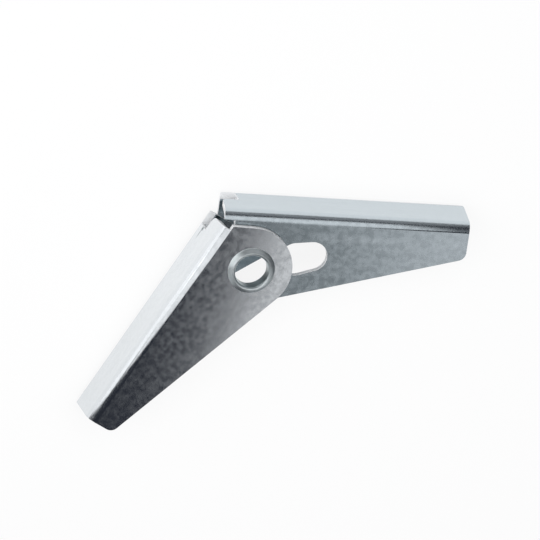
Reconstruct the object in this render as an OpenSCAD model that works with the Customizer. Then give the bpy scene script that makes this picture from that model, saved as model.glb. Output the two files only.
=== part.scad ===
// Wings of a toggle bolt for hollow walls: two tapered channels stamped from zinc-plated
// sheet steel and hinged on one hollow rivet through their near ears.
//
// Frame: +Z runs up the hinge axis and the origin is midway between the two ears, in the
// middle of the rivet. The wings lie on their far side, with the near ears on top.
// A wing's own frame has +X from the hinge to its tip and +Y out through its web.

/* [Sheet] */
// Thickness of the sheet steel
sheet_t = 1.3; // [1:0.05:1.5]
// Outside radius of the bends beside the web
bend_r = 2; // [1.7:0.1:2.4]
// Outside width of a wing, across its two flanges
wing_w = 12.4; // [11:0.1:14]
// Gap between sheets that lie on each other
play = 0.1; // [0.05:0.01:0.2]
// How far both ends of a wing run out of square, from the near to the far side
end_skew = 1.2; // [0:0.1:1.5]
// Radius on the lower corner of a wing's tip
tip_r = 1.8; // [1:0.1:2.2]

/* [Stance] */
// Heading of the right wing's tip about the hinge, in degrees from +X
right_heading = -7.7; // [-12:0.1:0]
// Angle between the two webs as the wings stand
open_angle = 117.4; // [90:0.1:118]

/* [Left wing] */
// Distance from the hinge axis out to the web
left_drop = 10.5; // [10.2:0.1:11]
// Length of the web behind the hinge axis
left_behind = 4.9; // [4:0.1:5]
// Length of the web from the hinge axis to the tip
left_reach = 43.4; // [38:0.1:48]
// Taper of the near flange against the web, in degrees
left_taper = 17; // [14:0.1:18]
// Radius of the near ear
left_ear_r = 8.8; // [8:0.1:9]
// Distance from the hinge axis towards the web to the centre of the near ear's arc
left_ear_rise = 0.5; // [0:0.1:0.8]
// Depth of the shallow far flange
left_lip = 5; // [4:0.1:6]
// Radius on the web corner beside the notch
left_notch_corner_r = 1.8; // [0.5:0.1:2]
// Radius on the far corner of the web at the tip
left_far_tip_r = 0.8; // [0.5:0.1:2.5]

/* [Right wing] */
// Distance from the hinge axis out to the web
right_drop = 11.9; // [11.5:0.1:12.5]
// Length of the web behind the hinge axis
right_behind = 6.5; // [6:0.1:6.6]
// Length of the web from the hinge axis to the tip
right_reach = 44.1; // [38:0.1:48]
// Taper of the near flange against the web, in degrees
right_taper = 15.5; // [14:0.1:17]
// Radius of the near ear about the hinge axis
right_ear_r = 7.6; // [7.2:0.1:8.4]
// Depth of the shallow part of the far flange
right_lip = 7; // [5:0.1:8]
// Radius on the corner of the far flange's half ear
half_ear_corner_r = 3; // [2:0.1:4]
// Distance from the hinge axis to the half ear's straight edge
half_ear_below = 3.7; // [3.5:0.1:4.5]
// Angle of the half ear's straight edge against the web, in degrees
half_ear_slope = 28; // [24:0.5:32]
// Depth of the shoulder that the near flange keeps at the web's inner end
right_shoulder = 1.9; // [1.4:0.1:2.2]
// Distance from the hinge axis to the back of the neck below the shoulder
right_neck = 4.3; // [3.5:0.1:4.4]
// Radius on the web corner beside the notch
right_notch_corner_r = 0.6; // [0.4:0.1:2]
// Radius on the far corner of the web at the tip
right_far_tip_r = 2.4; // [0.5:0.1:2.5]

/* [Slot in the right wing] */
// Width of the slot at its far end
slot_w = 6.3; // [5:0.1:6.6]
// Width of the slot at its near end
slot_near_w = 7; // [6.6:0.1:7.2]
// Distance from the hinge axis to the slot's near end
slot_near = 5.9; // [5.4:0.1:6.5]
// Distance from the hinge axis to the slot's far end
slot_far = 15.9; // [14:0.1:18]
// Distance of the slot's centre line from the hinge axis
slot_off = 0.3; // [0:0.1:0.5]
// Angle of the slot against the web, in degrees
slot_slope = 12.8; // [10:0.1:14]

/* [Web notches] */
// Length of a notch along the web
notch_l = 4; // [3:0.1:5]
// Width of a notch across the web
notch_w = 4; // [3:0.1:5]
// Web left between a notch and the far side
notch_edge = 1.5; // [1.3:0.1:2]

/* [Hollow rivet] */
// Radius of the bore
bore_r = 3.4; // [3.2:0.05:3.5]
// Thickness of the rivet's wall
rivet_wall = 0.6; // [0.5:0.05:0.6]
// Radius of the rolled rim
rim_r = 4.8; // [4.4:0.05:5]
// Height of the rolled rim above the left ear
rim_h = 0.9; // [0.6:0.05:1.4]
// Radius of the bore where it opens out at the tail
mouth_r = 3.8; // [3.6:0.05:3.85]
// Radius of the flared tail
tail_r = 4.6; // [4.5:0.05:4.8]
// Depth of the flared tail under the right ear
tail_h = 0.6; // [0.5:0.05:0.8]
// Radial clearance between the rivet and the holes in the ears
rivet_fit = 0.06; // [0.02:0.01:0.1]

/* [Hidden] */
$fn = 96;
zinc = [0.78, 0.8, 0.82];
bright_zinc = [0.86, 0.88, 0.9];
past = 1;
left_heading = right_heading - open_angle;
left_top = play / 2 + sheet_t;
right_top = -play / 2;
shank_r = bore_r + rivet_wall;
hole_r = shank_r + rivet_fit;
skew_angle = atan(end_skew / wing_w);

// Point where a line from p touches the circle of radius r about the origin
function touch(p, r) = let (a = atan2(p.y, p.x) + acos(r / norm(p))) r * [cos(a), sin(a)];
// Height at station x of a straight edge on the given slope that passes r below the origin
function edge_y(x, r, slope) = x * tan(slope) - r / cos(slope);
// Point at the distance r from the origin on the heading a
function polar(r, a) = r * [cos(a), sin(a)];

// Cutter for the corner at p between the headings a and b: it leaves an arc of radius r
module round_corner(p, a, b, r) {
    trim = r / tan((b - a) / 2);
    centre = polar(r / sin((b - a) / 2), (a + b) / 2);
    translate(p) difference() {
        polygon([[0, 0], polar(trim, a), centre, polar(trim, b)]);
        translate(centre) circle(r);
    }
}

// Bar of the width w with two round corners at its top; x is its height, y runs across it
module bent_bar(top, bottom, w, r) {
    translate([bottom, 0]) square([top - r - bottom, w]);
    translate([bottom, r]) square([top - bottom, w - 2 * r]);
    translate([top - r, r]) circle(r);
    translate([top - r, w - r]) circle(r);
}

// Channel from which a wing is cut: web above, one flange on each side
module channel(drop, bottom, back, front) {
    translate([-back, 0, 0]) rotate([90, 0, 90]) linear_extrude(back + front) difference() {
        bent_bar(drop, bottom, wing_w, bend_r);
        translate([0, sheet_t]) bent_bar(drop - sheet_t, bottom - past, wing_w - 2 * sheet_t, bend_r - sheet_t);
    }
}

// Near flange with its round ear, seen from the near side
module near_outline(drop, reach, ear_r, rise, taper, heel) {
    ear = [0, rise];
    tip = [reach, rise + edge_y(reach, ear_r, taper)];
    difference() {
        polygon(concat(heel, [ear + polar(ear_r, taper - 90), tip, [reach, drop - bend_r],
            [reach + end_skew, drop - bend_r], [reach + end_skew, drop]]));
        round_corner(tip, 90, 180 + taper, tip_r);
    }
    translate(ear) circle(ear_r);
}

// Far flange, seen from the near side: a shallow lip that widens to half an ear
module far_outline(drop, behind, reach, lip) {
    meet = (drop - lip + half_ear_below / cos(half_ear_slope)) / tan(half_ear_slope);
    corner = [-behind, edge_y(-behind, half_ear_below, half_ear_slope)];
    difference() {
        polygon([[-behind, drop], corner, [meet, drop - lip],
            [reach + end_skew, drop - lip], [reach + end_skew, drop]]);
        round_corner(corner, half_ear_slope, 90, half_ear_corner_r);
    }
}

// Web and bends seen from above: skewed ends, a notch and a round far corner at the tip
module plan_outline(behind, reach, corner_r, far_tip_r) {
    notch_top = notch_edge + notch_w;
    difference() {
        polygon([[-behind, wing_w], [end_skew - behind, 0], [reach + end_skew, 0], [reach, wing_w]]);
        translate([-behind - past, notch_edge]) square([notch_l + past, notch_w]);
        round_corner([end_skew * (1 - notch_top / wing_w) - behind, notch_top],
            0, 90 + skew_angle, corner_r);
        round_corner([reach + end_skew, 0], 90 + skew_angle, 180, far_tip_r);
    }
}

// One wing in its own frame, with its far outer face at z = 0
module wing(drop, behind, reach, ear_r, rise, lip, heel, taper, corner_r, far_tip_r) {
    mid = wing_w / 2;
    difference() {
        intersection() {
            channel(drop, -ear_r - past, ear_r + past, reach + end_skew + past);
            union() {
                translate([0, 0, mid]) linear_extrude(mid)
                    near_outline(drop, reach, ear_r, rise, taper, heel);
                linear_extrude(mid) far_outline(drop, behind, reach, lip);
            }
            union() {
                rotate([90, 0, 0]) translate([0, 0, -drop]) linear_extrude(drop + ear_r)
                    plan_outline(behind, reach, corner_r, far_tip_r);
                translate([-ear_r - past, -ear_r - past, mid])
                    cube([ear_r + past, drop - bend_r + ear_r + past, mid]);
            }
        }
        translate([0, 0, mid]) cylinder(h = mid + past, r = hole_r);
    }
}

// Outline of the long hole along +X: its sides touch the two round ends
module slot() {
    near = [slot_near + slot_near_w / 2, 0];
    far = [slot_far - slot_w / 2, 0];
    lean = asin((slot_near_w - slot_w) / 2 / (far.x - near.x));
    translate(near) circle(slot_near_w / 2);
    translate(far) circle(slot_w / 2);
    polygon([near + polar(slot_near_w / 2, 90 - lean), far + polar(slot_w / 2, 90 - lean),
        far + polar(slot_w / 2, lean - 90), near + polar(slot_near_w / 2, lean - 90)]);
}

module left_wing() {
    heel = [-left_behind, left_drop];
    ear = [0, left_ear_rise];
    color(bright_zinc)
    rotate(left_heading) mirror([0, 1, 0]) translate([0, 0, left_top - wing_w])
        wing(left_drop, left_behind, left_reach, left_ear_r, left_ear_rise, left_lip,
            [heel, ear + touch(heel - ear, left_ear_r)], left_taper,
            left_notch_corner_r, left_far_tip_r);
}

module right_wing() {
    shoulder = right_drop - right_shoulder;
    heel = [[-right_behind, right_drop], [-right_behind, shoulder], [-right_neck, shoulder], [-right_neck, 0]];
    color(zinc)
    rotate(right_heading) translate([0, 0, right_top - wing_w]) difference() {
        wing(right_drop, right_behind, right_reach, right_ear_r, 0, right_lip,
            heel, right_taper, right_notch_corner_r, right_far_tip_r);
        translate([0, 0, wing_w - 2 * sheet_t]) linear_extrude(3 * sheet_t)
            rotate(slot_slope) translate([0, slot_off]) slot();
    }
}

// Half section of a rim that is rolled over outwards, standing on y = 0
module rolled_rim(inner_r, outer_r, height) {
    roll_r = (outer_r - inner_r) / 2;
    translate([inner_r, 0]) square([2 * roll_r, height - roll_r]);
    translate([inner_r + roll_r, height - roll_r]) intersection() {
        circle(roll_r);
        translate([-roll_r, 0]) square([2 * roll_r, roll_r]);
    }
}

// Hollow rivet with a rolled rim on the left ear; its bore opens out to the flared tail
module hollow_rivet() {
    flare_top = right_top - sheet_t / 3;
    tail = right_top - sheet_t - play / 2;
    color(bright_zinc)
    rotate_extrude() {
        polygon([[bore_r, left_top], [bore_r, flare_top], [mouth_r, tail], [shank_r, tail],
            [shank_r, left_top]]);
        translate([0, left_top]) rolled_rim(bore_r, rim_r, rim_h);
        translate([0, tail]) mirror([0, 1]) rolled_rim(mouth_r, tail_r, tail_h);
    }
}

left_wing();
right_wing();
hollow_rivet();
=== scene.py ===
"""Looks of a toggle bolt's folding wings: two zinc-plated channels that turn about one hollow rivet.

The file is laid out as an add-on and run as a script. All sizes are in metres, in the frame of the
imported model: the hinge axis is Z, and the origin lies midway between the two ears in the middle of
the rivet. A wing's own frame is turned about Z so that X runs from the hinge to its tip. Its web
then lies on the far +Y side on the right wing and on the far -Y side on the left wing.
"""

import math
from collections import namedtuple

import bmesh
import bpy
from bpy.props import FloatProperty, FloatVectorProperty, IntProperty, PointerProperty
from bpy.types import Operator, Panel, PropertyGroup
from mathutils import Matrix, Vector


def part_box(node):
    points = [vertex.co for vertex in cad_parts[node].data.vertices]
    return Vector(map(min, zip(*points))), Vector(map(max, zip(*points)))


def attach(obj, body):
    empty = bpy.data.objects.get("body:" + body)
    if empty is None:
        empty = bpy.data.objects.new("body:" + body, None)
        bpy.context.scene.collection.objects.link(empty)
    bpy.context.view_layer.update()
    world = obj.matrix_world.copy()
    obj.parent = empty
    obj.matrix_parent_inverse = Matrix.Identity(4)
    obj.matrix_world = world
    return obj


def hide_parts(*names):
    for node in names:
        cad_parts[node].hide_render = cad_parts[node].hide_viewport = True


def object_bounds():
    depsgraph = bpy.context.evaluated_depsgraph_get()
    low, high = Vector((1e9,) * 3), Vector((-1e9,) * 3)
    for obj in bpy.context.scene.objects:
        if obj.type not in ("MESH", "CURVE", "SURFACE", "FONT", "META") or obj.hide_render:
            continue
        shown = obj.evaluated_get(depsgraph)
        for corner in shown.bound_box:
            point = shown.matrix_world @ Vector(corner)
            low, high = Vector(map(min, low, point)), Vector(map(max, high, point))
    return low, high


bl_info = {
    "name": "Toggle bolt wings",
    "version": (1, 0, 0),
    "blender": (4, 5, 0),
    "location": "View3D > Sidebar > Toggle bolt",
    "description": "Zinc-plated folding wings of a toggle bolt, with their hollow rivet and a small studio",
    "category": "Object",
}

MM = 0.001
SHEET = 1.3 * MM  # thickness of the sheet
LEFT_WEB = -10.5 * MM  # outer face of the left wing's web, in its own frame
CUT_WIDTH = 1.6 * MM  # cut edges closer than this have a cut face between them
FLAT_AREA = (4 * MM) ** 2  # faces from this size on are flat
LEVEL = 0.9999  # upright part of a level face's normal
WELD = 0.002 * MM  # points of a wing closer than this are one
RIVET_WELD = 0.001 * MM
JOIN_ANGLE = math.radians(0.4)  # faces that turn less than this are joined
RIVET_SHARP = math.radians(50)
RIM_CREST = 0.38  # place of the rim's crest, from its inner to its outer side
RIM_LIP = 0.03 * MM  # upright edge under the rim's slope
ROUND_STEPS = 10
RIM_STEPS = 12
GRAIN_DEPTH = 0.02 * MM
EDGE_LINES = 2500.0  # lines for each metre of a sheared edge
RUB_TICKS = 900.0  # ticks for each metre of the rubbed strip
FLOOR_DROP = 0.02 * MM
WHITE = (1.0, 1.0, 1.0, 1.0)

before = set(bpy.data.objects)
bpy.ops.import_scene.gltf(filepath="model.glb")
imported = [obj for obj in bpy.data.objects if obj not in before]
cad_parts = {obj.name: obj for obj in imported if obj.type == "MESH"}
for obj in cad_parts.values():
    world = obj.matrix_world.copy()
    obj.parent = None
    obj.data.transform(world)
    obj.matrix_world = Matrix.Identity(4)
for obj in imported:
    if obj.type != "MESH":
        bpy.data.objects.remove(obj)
CAD_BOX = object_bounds()
LEFT_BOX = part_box("left_wing")
RIGHT_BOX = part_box("right_wing")
RIVET_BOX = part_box("hollow_rivet")

Light = namedtuple("Light", "name place towards size level spin shine", defaults=(0.0, True))
# Sizes in metres. The level is the brightness as seen, and the spin is in degrees.
LIGHTS = (
    Light("top_box", (-0.020, 0.050, 0.150), (-0.020, 0.050, 0.0), (0.300, 0.160), 0.9),
    Light("key_box", (0.076, -0.081, 0.150), (0.076, -0.081, 0.0), (0.100, 0.106), 0.68, -20.0),
    Light("left_box", (-0.38, 0.18, 0.16), (0.0, 0.0, 0.0), (0.45, 0.34), 1.05),
    Light("side_box", (-0.34, -0.26, 0.13), (0.0, 0.0, 0.0), (0.36, 0.26), 0.45),
    Light("rear_box", (0.15, 0.42, 0.12), (0.0, 0.0, 0.0), (0.50, 0.30), 0.25),
    Light("front_box", (0.22, -0.38, 0.12), (0.0, 0.0, 0.0), (0.50, 0.26), 0.35),
    Light("room_fill", (-0.10, 0.15, 0.70), (0.0, 0.0, 0.0), (0.80, 0.80), 2.3, shine=False),
)


# ---------------------------------------------------------------- node trees


class Field:
    """One varying value in a node tree. A sum on it adds the Math node that it stands for."""

    def __init__(self, tree, socket):
        self.tree = tree
        self.socket = socket

    def result(self, operation, *values):
        return self.tree.node("Math", dict(enumerate(values)), operation=operation)

    def __add__(self, other):
        return self.result("ADD", self, other)

    def __radd__(self, other):
        return self.result("ADD", other, self)

    def __sub__(self, other):
        return self.result("SUBTRACT", self, other)

    def __rsub__(self, other):
        return self.result("SUBTRACT", other, self)

    def __mul__(self, other):
        return self.result("MULTIPLY", self, other)

    def __rmul__(self, other):
        return self.result("MULTIPLY", other, self)

    def __abs__(self):
        return self.result("ABSOLUTE", self)

    def greatest(self, other):
        return self.result("MAXIMUM", self, other)

    def band(self, low, high):
        """0 at low and 1 at high, with a soft passage between them."""
        sizes = {"Value": self, "From Min": low, "From Max": high}
        return self.tree.node("MapRange", sizes, interpolation_type="SMOOTHSTEP")

    def hill(self, middle, reach):
        """1 at middle, falling to 0 at reach on both sides."""
        return 1.0 - abs(self - middle).band(0.0, reach)


class Tree:
    """A node tree, with one method that adds any node."""

    def __init__(self, tree, prefix):
        self.tree = tree
        self.prefix = prefix

    def put(self, slot, value):
        """Links a field to a socket, or sets the socket to a plain value."""
        if isinstance(value, Field):
            self.tree.links.new(value.socket, slot)
        else:
            slot.default_value = value

    def node(self, kind, inputs=None, output=0, **settings):
        """Adds a node, its settings first and then its inputs, and gives one of its outputs."""
        made = self.tree.nodes.new(self.prefix + kind)
        for key, value in settings.items():
            setattr(made, key, value)
        for key, value in (inputs or {}).items():
            self.put(made.inputs[key], value)
        return Field(self, made.outputs[output]) if made.outputs else None


class Paint(Tree):
    """The shader tree of a material or of the world."""

    def __init__(self, owner):
        owner.use_nodes = True
        super().__init__(owner.node_tree, "ShaderNode")
        self.owner = owner

    def part(self, vector, letter):
        return self.node("SeparateXYZ", {"Vector": vector}, output="XYZ".index(letter))

    def blend(self, factor, one, other):
        """A colour that goes from one to other as factor goes from 0 to 1."""
        colours = {"Factor": factor, 6: (*one, 1.0), 7: (*other, 1.0)}
        return self.node("Mix", colours, output=2, data_type="RGBA")

    def noise(self, place, scale, detail=3.0, roughness=0.55):
        sizes = {"Vector": place, "Scale": scale, "Detail": detail, "Roughness": roughness}
        return self.node("TexNoise", sizes)

    def bump(self, height, strength):
        sizes = {"Height": height, "Strength": strength, "Distance": GRAIN_DEPTH}
        return self.node("Bump", sizes)

    def turned(self, place, angle, stretch, offset=(0.0, 0.0, 0.0)):
        """Place, turned about Z so that its X runs along a wing, then stretched."""
        sizes = {"Vector": place, "Rotation": (0.0, 0.0, -angle)}
        along = self.node("Mapping", sizes)
        return self.node("Mapping", {"Vector": along, "Location": offset, "Scale": stretch})

    def surface(self, metallic, colour, roughness, normal):
        """Sets the material's own surface shader, and gives the material."""
        slots = self.tree.nodes["Principled BSDF"].inputs
        slots["Metallic"].default_value = metallic
        self.put(slots["Base Color"], colour)
        self.put(slots["Roughness"], roughness)
        self.put(slots["Normal"], normal)
        return self.owner


class Shape(Tree):
    """A Geometry Nodes tree. Its keys are the identifiers by which a modifier sets its named inputs."""

    def __init__(self, name, kinds):
        super().__init__(bpy.data.node_groups.new(name, "GeometryNodeTree"), "GeometryNode")
        self.tree.is_modifier = True
        sockets = self.tree.interface
        for way in ("INPUT", "OUTPUT"):
            sockets.new_socket("Geometry", in_out=way, socket_type="NodeSocketGeometry")
        self.keys = {}
        for label, kind in kinds.items():
            slot = sockets.new_socket(label, in_out="INPUT", socket_type="NodeSocket" + kind)
            self.keys[label] = slot.identifier
        self.inside = self.tree.nodes.new("NodeGroupInput")

    def given(self, label):
        return Field(self, self.inside.outputs[label])

    def finish(self, geometry):
        outside = self.tree.nodes.new("NodeGroupOutput")
        self.put(outside.inputs["Geometry"], geometry)


# ---------------------------------------------------------------- settings


class ZincSettings(PropertyGroup):
    """Colours, finish, marks and painted shade of the zinc plating."""

    left_colour: FloatVectorProperty(
        name="Left wing", description="Zinc colour of the left wing", subtype="COLOR",
        size=3, min=0.0, max=1.0, default=(0.85, 0.88, 0.905))
    right_colour: FloatVectorProperty(
        name="Right wing", description="Zinc colour of the right wing", subtype="COLOR",
        size=3, min=0.0, max=1.0, default=(0.60, 0.665, 0.705))
    rivet_colour: FloatVectorProperty(
        name="Rivet", description="Zinc colour of the rolled rivet", subtype="COLOR",
        size=3, min=0.0, max=1.0, default=(0.80, 0.86, 0.87))
    edge_colour: FloatVectorProperty(
        name="Sheared edges", description="Colour of the sheared edges of the sheet", subtype="COLOR",
        size=3, min=0.0, max=1.0, default=(0.94, 0.95, 0.96))
    # Real stains and the painted shade both darken the zinc towards this colour.
    stain_and_shade_colour: FloatVectorProperty(
        name="Stain and shade", description="Colour of stains in the plating, and of the painted shade", subtype="COLOR",
        size=3, min=0.0, max=1.0, default=(0.12, 0.155, 0.17))
    left_roughness: FloatProperty(
        name="Left roughness", description="Roughness of the left wing", subtype="FACTOR",
        min=0.05, max=0.9, default=0.15)
    rivet_roughness: FloatProperty(
        name="Rivet roughness", description="Roughness of the rivet", subtype="FACTOR",
        min=0.05, max=0.9, default=0.4)
    right_roughness: FloatProperty(
        name="Right roughness", description="Roughness of the right wing", subtype="FACTOR",
        min=0.05, max=0.9, default=0.24)
    mottle_size: FloatProperty(
        name="Mottle size", description="Size of the cloudy spots in the plating",
        unit="LENGTH", min=0.0003, max=0.01, default=0.0012)
    mottle_depth: FloatProperty(
        name="Mottle depth", description="How much darker the cloudy spots are", subtype="FACTOR",
        min=0.0, max=1.0, default=0.2)
    cloud_share: FloatProperty(
        name="Clouds", description="Share of the large clouds in the mottle", subtype="FACTOR",
        min=0.0, max=1.0, default=0.2)
    spot_share: FloatProperty(
        name="Spots", description="Share of the small spots in the mottle", subtype="FACTOR",
        min=0.0, max=1.0, default=0.5)
    streak_share: FloatProperty(
        name="Streaks", description="Share of the rolling streaks in the mottle", subtype="FACTOR",
        min=0.0, max=1.0, default=0.3)
    # Lightens the painted shade on the right wing's near flange in a strip beside the bend.
    strip_lightening: FloatProperty(
        name="Lighter strip", description="How much lighter the painted shade on the right flange is in a strip beside the bend",
        subtype="FACTOR", min=0.0, max=1.0, default=0.45)
    # Painted shade on the left web at the corner of the notch.
    notch_shade_depth: FloatProperty(
        name="Notch shade", description="Darkness of the painted shade at the left notch's corner", subtype="FACTOR",
        min=0.0, max=1.0, default=0.85)
    dark_streak_depth: FloatProperty(
        name="Dark streak", description="Darkness of the streak by the left notch", subtype="FACTOR",
        min=0.0, max=1.0, default=0.5)
    # Painted shade over the left web, which sets off the bright bend beside it.
    web_shade_depth: FloatProperty(
        name="Web shade", description="Painted shade on the left web by the hinge", subtype="FACTOR",
        min=0.0, max=1.0, default=0.05)
    # Painted shade that deepens towards the left web's tip, for its dimmer reflection there.
    tip_shade_depth: FloatProperty(
        name="Tip shade", description="How much more painted shade the left web has at its tip", subtype="FACTOR",
        min=0.0, max=1.0, default=0.07)


class SheetSettings(PropertyGroup):
    """Finish of the sheet's cut edges, and the headings of the two wings."""

    edge_round: FloatProperty(
        name="Edge rounding", description="Width of the worn round on each cut edge",
        unit="LENGTH", min=0.00002, max=0.0004, default=0.00016)
    edge_steps: IntProperty(
        name="Edge steps", description="Faces across each rounded edge", min=1, max=4, default=2)
    sharp_angle: FloatProperty(
        name="Sharp angle", description="Edges that turn more than this are cut edges",
        unit="ROTATION", min=math.radians(20), max=math.radians(80), default=math.radians(40))
    left_heading: FloatProperty(
        name="Left heading", description="Direction of the left wing about the hinge axis",
        unit="ROTATION", default=math.radians(-125.1))
    right_heading: FloatProperty(
        name="Right heading", description="Direction of the right wing about the hinge axis",
        unit="ROTATION", default=math.radians(-7.7))


class RivetSettings(PropertyGroup):
    """Sizes of the hollow rivet's turned profile."""

    bore_radius: FloatProperty(
        name="Bore radius", description="Radius of the hole through the rivet",
        unit="LENGTH", min=0.003, max=0.0036, default=0.0034)
    shank_radius: FloatProperty(
        name="Shank radius", description="Radius of the shank in the two ears",
        unit="LENGTH", min=0.0036, max=0.0042, default=0.004)
    rim_radius: FloatProperty(
        name="Rim radius", description="Outer radius of the rolled rim",
        unit="LENGTH", min=0.0042, max=0.006, default=0.0048)
    rim_height: FloatProperty(
        name="Rim height", description="Height of the rolled rim above the left ear",
        unit="LENGTH", min=0.0005, max=0.0015, default=0.0009)
    mouth_radius: FloatProperty(
        name="Mouth radius", description="Radius of the bore where it opens out at the tail",
        unit="LENGTH", min=0.0036, max=0.00385, default=0.0038)
    tail_radius: FloatProperty(
        name="Tail radius", description="Outer radius of the flared tail",
        unit="LENGTH", min=0.0042, max=0.006, default=0.0046)
    tail_height: FloatProperty(
        name="Tail height", description="Height of the flared tail below the right ear",
        unit="LENGTH", min=0.0003, max=0.0012, default=0.0006)
    flare_start: FloatProperty(
        name="Flare start", description="Height at which the bore starts to open out",
        unit="LENGTH", min=-0.0013, max=0.0, default=-0.000483)
    steps: IntProperty(
        name="Steps", description="Faces round the rivet", min=24, max=192, default=96)


class StudioSettings(PropertyGroup):
    """The floor, the room and the camera."""

    floor_size: FloatProperty(
        name="Floor size", description="Side of the square floor",
        unit="LENGTH", min=0.5, max=6.0, default=3.0)
    floor_colour: FloatVectorProperty(
        name="Floor", description="Colour of the floor", subtype="COLOR",
        size=3, min=0.0, max=1.0, default=(0.90, 0.90, 0.90))
    floor_glow: FloatProperty(
        name="Floor whiteness", description="Share of plain white in what the camera sees of the floor",
        subtype="FACTOR", min=0.0, max=1.0, default=0.85)
    room_colour: FloatVectorProperty(
        name="Room", description="Colour of the dim room round the object", subtype="COLOR",
        size=3, min=0.0, max=1.0, default=(0.022, 0.025, 0.034))
    camera_distance: FloatProperty(
        name="Camera distance", description="From the camera to the point that it looks at",
        unit="LENGTH", min=0.3, max=3.0, default=1.0)
    frame_width: FloatProperty(
        name="Frame width", description="Width that the picture takes in at the object",
        unit="LENGTH", min=0.05, max=0.5, default=0.108)
    camera_target: FloatVectorProperty(
        name="Camera target", description="The point in the middle of the picture", subtype="XYZ",
        unit="LENGTH", size=3, default=(0.00366, 0.00011, 0.00203))
    camera_roll: FloatProperty(
        name="Camera roll", description="Turn of the camera about the picture's upright",
        unit="ROTATION", default=math.radians(-11.2))
    camera_lean: FloatProperty(
        name="Camera lean", description="Lean of the camera towards the webs",
        unit="ROTATION", default=math.radians(22.0))


# ---------------------------------------------------------------- meshes


def new_object(name, data):
    piece = bpy.data.objects.new(name, data)
    bpy.context.collection.objects.link(piece)
    return piece


def is_cut_face(face, cut):
    """True for a face across the sheet's thickness, which lies between two near cut edges."""
    sharp = [edge for edge in face.edges if edge in cut]
    smooth = [edge for edge in face.edges if edge not in cut]
    short = all(edge.calc_length() < CUT_WIDTH for edge in smooth)
    return len(sharp) > 1 and short and face.calc_area() < CUT_WIDTH / 2 * face.calc_perimeter()


def pressed_sheet(name, node, sheet):
    """A copy of a CAD wing with joined faces and a small worn round on each cut edge."""
    form = bmesh.new()
    form.from_mesh(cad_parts[node].data)
    bmesh.ops.remove_doubles(form, verts=form.verts, dist=WELD)
    bmesh.ops.dissolve_limit(form, angle_limit=JOIN_ANGLE, verts=form.verts, edges=form.edges)
    cut = [edge for edge in form.edges if edge.calc_face_angle(0.0) > sheet.sharp_angle]
    for face in form.faces:
        face.material_index = int(is_cut_face(face, cut))
    bmesh.ops.bevel(
        form, geom=cut, offset=sheet.edge_round, segments=sheet.edge_steps, profile=0.5,
        affect="EDGES", clamp_overlap=True)
    bmesh.ops.recalc_face_normals(form, faces=form.faces)
    for face in form.faces:
        face.smooth = face.calc_area() < FLAT_AREA and abs(face.normal.z) < LEVEL
    many_sided = [face for face in form.faces if len(face.verts) > 4]
    bmesh.ops.triangulate(form, faces=many_sided, ngon_method="BEAUTY")
    mesh = bpy.data.meshes.new(name)
    form.to_mesh(mesh)
    form.free()
    # Marking the sharp edges also turns every face smooth, so the flat faces are put back.
    curved = [face.use_smooth for face in mesh.polygons]
    mesh.set_sharp_from_angle(angle=sheet.sharp_angle)
    mesh.polygons.foreach_set("use_smooth", curved)
    return new_object(name, mesh)


def tail_round(inner, outer, low):
    """Points of the flared tail's half round, from its inner side under its foot to its outer side."""
    radius = (outer - inner) / 2
    points = []
    for step in range(ROUND_STEPS, -1, -1):
        turn = math.pi * step / ROUND_STEPS
        points.append((inner + radius + radius * math.cos(turn), low + radius - radius * math.sin(turn)))
    return points


def flared_rim(inner, outer, low, rise):
    """Points of the rolled rim: a soft slope from its outer side to the crest, then over into the bore."""
    crest = inner + (outer - inner) * RIM_CREST
    points = []
    for step in range(RIM_STEPS + 1):
        part = step / RIM_STEPS
        swell = (part + part * part * (3.0 - 2.0 * part)) / 2
        points.append((outer + (crest - outer) * part, low + rise * swell))
    for step in range(1, RIM_STEPS + 1):
        turn = math.pi / 2 * step / RIM_STEPS
        fall = (crest - inner) * (1.0 - math.cos(turn))
        points.append((crest - (crest - inner) * math.sin(turn), low + rise - fall))
    return points


def rivet_profile(rivet):
    """Closed outline of half the rivet's section, as radius and height."""
    top = LEFT_BOX[1].z
    bottom = RIVET_BOX[0].z
    tail = bottom + rivet.tail_height
    outline = [(rivet.shank_radius, top), (rivet.rim_radius, top)]
    outline += flared_rim(
        rivet.bore_radius, rivet.rim_radius, top + RIM_LIP, rivet.rim_height - RIM_LIP)
    outline += [(rivet.bore_radius, rivet.flare_start), (rivet.mouth_radius, tail)]
    outline += tail_round(rivet.mouth_radius, rivet.tail_radius, bottom)
    outline += [(rivet.tail_radius, tail), (rivet.shank_radius, tail)]
    return outline


def turning_tree():
    """Turns an outline, drawn as edges in the XY plane, about the Z axis."""
    shape = Shape("Turned about the axis", {"Pitch radius": "Float", "Steps": "Int", "Material": "Material"})
    outline = shape.node("MeshToCurve", {"Mesh": shape.given("Geometry")})
    sizes = {"Radius": shape.given("Pitch radius"), "Resolution": shape.given("Steps")}
    circle = shape.node("CurvePrimitiveCircle", sizes)
    upright = shape.node("SetCurveNormal", {"Curve": circle}, mode="Z_UP")
    swept = shape.node("CurveToMesh", {"Curve": upright, "Profile Curve": outline})
    smooth = shape.node("SetShadeSmooth", {"Geometry": swept})
    real = shape.node("RealizeInstances", {"Geometry": smooth})
    coat = {"Geometry": real, "Material": shape.given("Material")}
    shape.finish(shape.node("SetMaterial", coat))
    return shape


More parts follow.
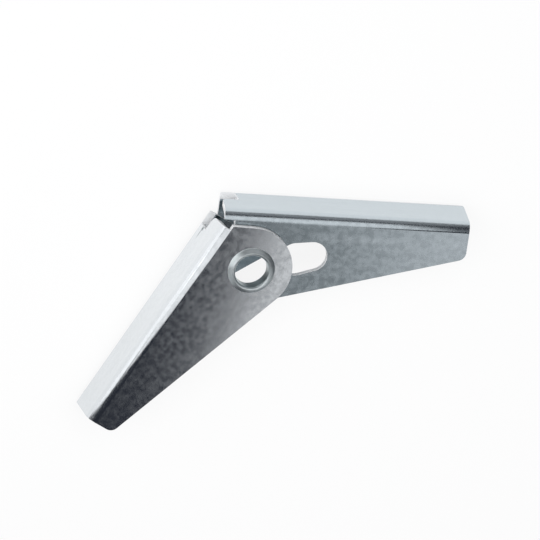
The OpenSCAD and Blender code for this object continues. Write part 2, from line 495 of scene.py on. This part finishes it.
def turned_rivet(name, rivet, material):
    """The hollow rivet: its outline turned about the hinge axis."""
    outline = rivet_profile(rivet)
    count = len(outline)
    # The sweep lays the outline on its head, so its heights are negated here.
    points = [(radius - rivet.shank_radius, -height, 0.0) for radius, height in outline]
    mesh = bpy.data.meshes.new(name + "_outline")
    mesh.from_pydata(points, [(i, (i + 1) % count) for i in range(count)], [])
    piece = new_object(name, mesh)
    shape = turning_tree()
    modifier = piece.modifiers.new("Turn", "NODES")
    modifier.node_group = shape.tree
    modifier[shape.keys["Pitch radius"]] = rivet.shank_radius
    modifier[shape.keys["Steps"]] = rivet.steps
    modifier[shape.keys["Material"]] = material
    bpy.context.view_layer.update()
    seen = piece.evaluated_get(bpy.context.evaluated_depsgraph_get())
    solid = bpy.data.meshes.new_from_object(seen)
    piece.modifiers.remove(modifier)
    piece.data = solid
    solid.name = name
    form = bmesh.new()
    form.from_mesh(solid)
    bmesh.ops.remove_doubles(form, verts=form.verts, dist=RIVET_WELD)
    bmesh.ops.recalc_face_normals(form, faces=form.faces)
    form.to_mesh(solid)
    form.free()
    solid.set_sharp_from_angle(angle=RIVET_SHARP)
    return piece


# ---------------------------------------------------------------- materials


def zinc(name, colour, roughness, plating, heading, box, seed, painted_shade=None):
    """Zinc plating: cloudy spots, and faint rolling streaks along the wing. They are strongest on the
    flat flanges at the top and bottom of box, and the wing's painted shade darkens parts of it."""
    paint = Paint(bpy.data.materials.new(name))
    place = paint.node("TexCoord", output="Object")
    shifted = (seed * 0.37, seed * 0.21, seed * 0.11)
    along = paint.turned(place, heading, (1.0, 1.0, 1.0))
    level = paint.turned(place, heading, (1.0, 1.0, 1.0), shifted)
    drawn = paint.turned(place, heading, (0.10, 1.0, 1.0), shifted)
    fine = 1.0 / plating.mottle_size
    clouds = paint.noise(level, fine / 3.0, detail=2.0)
    spots = paint.noise(level, fine, detail=4.0, roughness=0.6)
    streaks = paint.noise(drawn, fine, detail=3.0, roughness=0.6)
    marks = clouds.band(0.30, 0.70) * plating.cloud_share
    marks = marks + spots.band(0.36, 0.64) * plating.spot_share
    marks = marks + streaks.band(0.35, 0.65) * plating.streak_share
    middle = (box[0].z + box[1].z) / 2
    half = (box[1].z - box[0].z) / 2
    flange = abs(paint.part(place, "Z") - middle).band(half - 0.8 * MM, half - 0.2 * MM)
    dark = marks * (flange * 0.7 + 0.3) * plating.mottle_depth
    # The wing's own painted shade is added to the darkening here.
    if painted_shade:
        dark = dark + painted_shade(paint, along, spots, plating)
    return paint.surface(
        metallic=1.0,
        colour=paint.blend(dark, colour, plating.stain_and_shade_colour),
        roughness=spots.band(0.35, 0.65) * flange * 0.07 + (roughness - 0.01),
        normal=paint.bump(spots * 0.7 + clouds * 0.2 + streaks * 0.3, 0.22))


def sheared_edge(name, plating, seed):
    """A sheared edge: duller than the faces, with fine lines across the sheet."""
    paint = Paint(bpy.data.materials.new(name))
    place = paint.node("TexCoord", output="Object")
    stretched = paint.turned(place, 0.0, (1.0, 1.0, 0.15), (seed, 0.0, 0.0))
    lines = paint.noise(stretched, EDGE_LINES)
    return paint.surface(
        metallic=0.05,
        colour=paint.blend(lines.band(0.35, 0.75) * 0.15, plating.edge_colour, plating.stain_and_shade_colour),
        roughness=lines * 0.2 + 0.38,
        normal=paint.bump(lines, 0.3))


def left_shade_and_streak(paint, along, spots, plating):
    """Painted shade inside the left wing's far flange, painted shade over the web that deepens towards its
    tip, painted shade at the corner of the notch, and a dark streak in the web beside it."""
    length, across, height = (paint.part(along, letter) for letter in "XYZ")
    # Painted shade inside the far flange, where the real part lies in shadow.
    far_flange = LEFT_BOX[0].z + SHEET
    low = height.band(far_flange + 0.25 * MM, far_flange + 0.03 * MM)
    inside = across.band(LEFT_WEB + SHEET, LEFT_WEB + 1.9 * MM)
    painted_shade = low * inside * (spots * 0.2 + 0.72)
    web = across.band(LEFT_WEB + 0.5 * MM, LEFT_WEB + 0.2 * MM)
    # Painted shade at the notch's corner.
    spot = length.hill(-0.5 * MM, 0.7 * MM) * height.hill(-7.0 * MM, 0.8 * MM)
    # A dark streak along the web beside the notch.
    dark_streak = length.hill(0.7 * MM, 1.7 * MM) * height.hill(-7.2 * MM, 0.45 * MM)
    # Painted shade over the web, deeper towards the tip.
    web_darkening = length.band(0.0, 40.0 * MM) * plating.tip_shade_depth + plating.web_shade_depth
    return painted_shade + web * (spot * plating.notch_shade_depth + dark_streak * plating.dark_streak_depth + web_darkening)


def root_painted_shade(paint, along, spots, plating):
    """Painted shade on the right wing's near flange, deep by the hinge and gone at the tip, and lighter
    in short ticks in a strip beside the bend."""
    length, across, height = (paint.part(along, letter) for letter in "XYZ")
    near_flange = RIGHT_BOX[1].z
    top = height.band(near_flange - 0.6 * MM, near_flange - 0.2 * MM)
    flat = across.band(10.4 * MM, 9.6 * MM)
    root = length.band(47.0 * MM, 12.0 * MM)
    # A strip beside the bend where the painted shade is lighter in short ticks.
    lighter_strip = across.hill(7.1 * MM, 1.4 * MM) * length.band(10.0 * MM, 14.0 * MM)
    ticks = paint.noise(paint.turned(along, 0.0, (1.0, 0.2, 1.0)), RUB_TICKS).band(0.30, 0.55)
    # The share of the painted shade that is left in that strip.
    worn = 1.0 - lighter_strip * ticks * plating.strip_lightening
    return top * flat * root * worn * (spots * 0.3 + 0.29)


def floor_material(studio):
    """Pale floor that takes the object's shadow, looks white to the camera and in the metal, and is
    clear from below."""
    paint = Paint(bpy.data.materials.new("pale_floor"))
    paint.tree.nodes.clear()
    camera = paint.node("LightPath", output="Is Camera Ray")
    glossy = paint.node("LightPath", output="Is Glossy Ray")
    seen = camera.greatest(glossy) * studio.floor_glow
    lit = paint.node("BsdfDiffuse", {"Color": (*studio.floor_colour, 1.0)})
    white = paint.node("Emission", {"Color": WHITE, "Strength": 1.0})
    pale = paint.node("MixShader", {0: seen, 1: lit, 2: white})
    below = paint.node("NewGeometry", output="Backfacing")
    clear = paint.node("BsdfTransparent")
    mixed = paint.node("MixShader", {0: below, 1: pale, 2: clear})
    paint.node("OutputMaterial", {"Surface": mixed})
    return paint.owner


# ---------------------------------------------------------------- studio


def light_room(studio):
    """A dim room that looks white to the camera."""
    world = bpy.data.worlds.new("room")
    bpy.context.scene.world = world
    paint = Paint(world)
    paint.tree.nodes.clear()
    camera = paint.node("LightPath", output="Is Camera Ray")
    dim = paint.node("Background", {"Color": (*studio.room_colour, 1.0), "Strength": 1.0})
    white = paint.node("Background", {"Color": WHITE, "Strength": 1.0})
    mixed = paint.node("MixShader", {0: camera, 1: dim, 2: white})
    paint.node("OutputWorld", {"Surface": mixed})


def lay_floor(studio):
    """A square floor, a hair below the lowest sheet."""
    half = studio.floor_size / 2
    height = CAD_BOX[0].z - FLOOR_DROP
    corners = [(x, y, height) for x, y in ((-half, -half), (half, -half), (half, half), (-half, half))]
    mesh = bpy.data.meshes.new("floor")
    mesh.from_pydata(corners, [], [(0, 1, 2, 3)])
    mesh.materials.append(floor_material(studio))
    new_object("floor", mesh)


def hang_light(light):
    """A rectangular lamp that faces towards a point; its level is its brightness as seen."""
    width, height = light.size
    lamp = bpy.data.lights.new(light.name, "AREA")
    lamp.shape = "RECTANGLE"
    lamp.size = width
    lamp.size_y = height
    lamp.energy = light.level * math.pi * width * height
    box = new_object(light.name, lamp)
    aim = Vector(light.towards) - Vector(light.place)
    facing = aim.to_track_quat("-Z", "Y").to_matrix().to_4x4()
    spin = Matrix.Rotation(math.radians(light.spin), 4, "Z")
    box.matrix_world = Matrix.Translation(light.place) @ facing @ spin
    box.visible_camera = False
    box.visible_glossy = light.shine


def add_camera(studio):
    """A long lens that looks down on the wings and leans towards their webs."""
    turn = studio.camera_roll
    lean = studio.camera_lean
    right = Vector((math.cos(turn), 0.0, -math.sin(turn)))
    back = Vector((math.sin(turn) * math.cos(lean), math.sin(lean), math.cos(turn) * math.cos(lean)))
    upright = back.cross(right)
    lens = bpy.data.cameras.new("camera")
    lens.lens = lens.sensor_width * studio.camera_distance / studio.frame_width
    lens.clip_start = 0.01
    lens.clip_end = 20.0
    camera = new_object("camera", lens)
    turned = Matrix((right, upright, back)).transposed().to_4x4()
    place = Vector(studio.camera_target) + back * studio.camera_distance
    camera.matrix_world = Matrix.Translation(place) @ turned
    bpy.context.scene.camera = camera


# ---------------------------------------------------------------- operators


def hand_over(piece, body, node):
    """Parents a piece to the body that carries it, and hides the CAD node that it stands for."""
    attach(piece, body)
    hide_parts(node)


class TOGGLE_OT_wings(Operator):
    """Press the two wings out of their CAD forms and plate them"""

    bl_idname = "toggle.wings"
    bl_label = "Make the wings"

    def execute(self, context):
        sheet = context.scene.toggle_sheet
        plating = context.scene.toggle_zinc
        left = pressed_sheet("left_wing_plated", "left_wing", sheet)
        right = pressed_sheet("right_wing_plated", "right_wing", sheet)
        left.data.materials.append(zinc(
            "zinc_left_plating", plating.left_colour, plating.left_roughness, plating,
            sheet.left_heading, LEFT_BOX, 1, left_shade_and_streak))
        left.data.materials.append(sheared_edge("zinc_left_edge", plating, 1))
        right.data.materials.append(zinc(
            "zinc_right_plating", plating.right_colour, plating.right_roughness, plating,
            sheet.right_heading, RIGHT_BOX, 2, root_painted_shade))
        right.data.materials.append(sheared_edge("zinc_right_edge", plating, 2))
        hand_over(left, "left_half", "left_wing")
        hand_over(right, "right_half", "right_wing")
        return {"FINISHED"}


class TOGGLE_OT_rivet(Operator):
    """Turn the hollow rivet and plate it"""

    bl_idname = "toggle.rivet"
    bl_label = "Make the rivet"

    def execute(self, context):
        plating = context.scene.toggle_zinc
        material = zinc(
            "zinc_rivet_plating", plating.rivet_colour, plating.rivet_roughness, plating,
            0.0, RIVET_BOX, 3)
        rivet = turned_rivet("hollow_rivet_plated", context.scene.toggle_rivet, material)
        hand_over(rivet, "left_half", "hollow_rivet")
        return {"FINISHED"}


class TOGGLE_OT_studio(Operator):
    """Lay the floor and set up the lights and the camera"""

    bl_idname = "toggle.studio"
    bl_label = "Set up the studio"

    def execute(self, context):
        studio = context.scene.toggle_studio
        lay_floor(studio)
        light_room(studio)
        for light in LIGHTS:
            hang_light(light)
        add_camera(studio)
        context.scene.view_settings.view_transform = "Standard"
        return {"FINISHED"}


class TOGGLE_PT_panel(Panel):
    """The wings, the rivet and the studio"""

    bl_label = "Toggle bolt"
    bl_idname = "TOGGLE_PT_panel"
    bl_space_type = "VIEW_3D"
    bl_region_type = "UI"
    bl_category = "Toggle bolt"

    def draw(self, context):
        for operator, groups in (
            ("toggle.wings", ("toggle_sheet", "toggle_zinc")),
            ("toggle.rivet", ("toggle_rivet",)),
            ("toggle.studio", ("toggle_studio",)),
        ):
            box = self.layout.box()
            box.operator(operator)
            for group in groups:
                settings = getattr(context.scene, group)
                for name in type(settings).__annotations__:
                    box.prop(settings, name)


SETTINGS = {
    "toggle_zinc": ZincSettings,
    "toggle_sheet": SheetSettings,
    "toggle_rivet": RivetSettings,
    "toggle_studio": StudioSettings,
}
CLASSES = (*SETTINGS.values(), TOGGLE_OT_wings, TOGGLE_OT_rivet, TOGGLE_OT_studio, TOGGLE_PT_panel)


def register():
    for made in CLASSES:
        bpy.utils.register_class(made)
    for name, settings in SETTINGS.items():
        setattr(bpy.types.Scene, name, PointerProperty(type=settings))


def unregister():
    for name in SETTINGS:
        delattr(bpy.types.Scene, name)
    for made in reversed(CLASSES):
        bpy.utils.unregister_class(made)


def main():
    register()
    bpy.ops.toggle.wings()
    bpy.ops.toggle.rivet()
    bpy.ops.toggle.studio()


if __name__ == "__main__":
    main()
